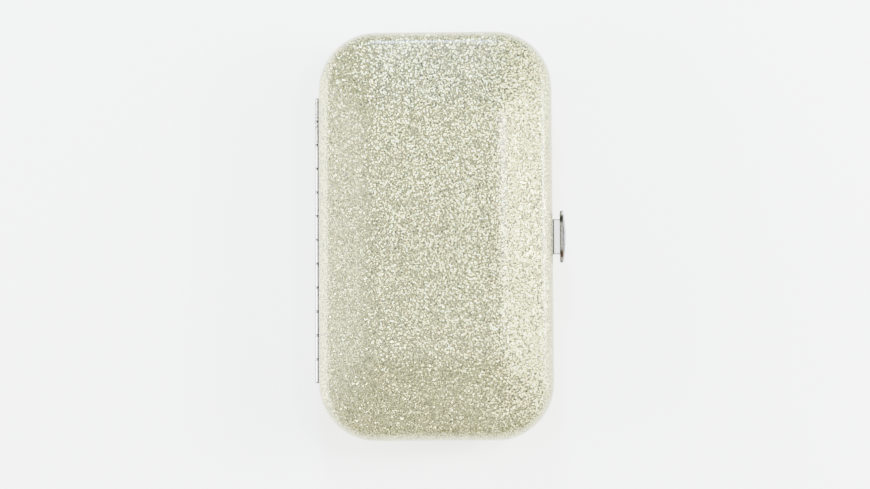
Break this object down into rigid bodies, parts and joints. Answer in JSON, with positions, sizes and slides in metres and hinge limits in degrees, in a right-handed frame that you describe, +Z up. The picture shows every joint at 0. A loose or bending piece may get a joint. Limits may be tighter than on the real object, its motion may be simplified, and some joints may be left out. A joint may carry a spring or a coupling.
{
  "type": "manicure set case",
  "caption": "Hard manicure set case with a piano hinge, a push-button catch and stowed nail tools.",
  "frame": {"origin": "centre of the flat face that the closed case rests on", "axes": "+Z up through the lid, +Y along the case's length, +X from the hinge to the catch"},
  "size_m": [0.07, 0.114, 0.025],
  "materials": {
    "glitter_skin": "glitter-coated synthetic leather, pale champagne",
    "shell_plastic": "plain moulded",
    "plated_steel": "bright nickel plate",
    "lining": "black flocked",
    "elastic": "woven elastic",
    "tool_steel": "polished stainless steel",
    "spring_steel": "drawn wire",
    "file_steel": "diamond grit",
    "handle_plastic": "black moulded"
  },
  "bodies": {
    "base": {"base_cover": "glitter_skin", "base_shell": "shell_plastic", "base_frame": "plated_steel", "base_liner": "lining", "base_board": "lining", "base_elastic": "elastic", "base_hinge_leaf": "plated_steel", "hinge_pin": "plated_steel", "latch_housing": "plated_steel", "latch_spring": "spring_steel", "latch_rivets": "plated_steel", "clipper_lower_jaw": "tool_steel", "clipper_upper_jaw": "tool_steel", "clipper_lever": "tool_steel", "clipper_pin": "tool_steel", "tweezers": "tool_steel", "file_blade": "file_steel", "file_handle": "handle_plastic", "cuticle_pusher": "tool_steel"},
    "lid": {"lid_cover": "glitter_skin", "lid_shell": "shell_plastic", "lid_frame": "plated_steel", "lid_liner": "lining", "lid_board": "lining", "lid_elastic": "elastic", "lid_hinge_leaf": "plated_steel", "keeper": "plated_steel", "keeper_rivets": "plated_steel", "scissors_left": "tool_steel", "scissors_right": "tool_steel", "scissors_screw": "tool_steel"},
    "latch": {"latch_slider": "plated_steel", "latch_button": "plated_steel"}
  },
  "joints": [
    {"name": "lid_hinge", "type": "hinge", "parent": "base", "child": "lid", "pos_m": [-0.033, -0.0009, 0.0125], "axis": [0, -1, 0], "range_deg": [0, 180]},
    {"name": "latch_press", "type": "slide", "parent": "base", "child": "latch", "axis": [-1, 0, 0], "range_m": [0, 0.0016], "stiffness_N_per_m": 400, "springref_m": -0.002, "deforming": ["latch_spring"]}
  ]
}
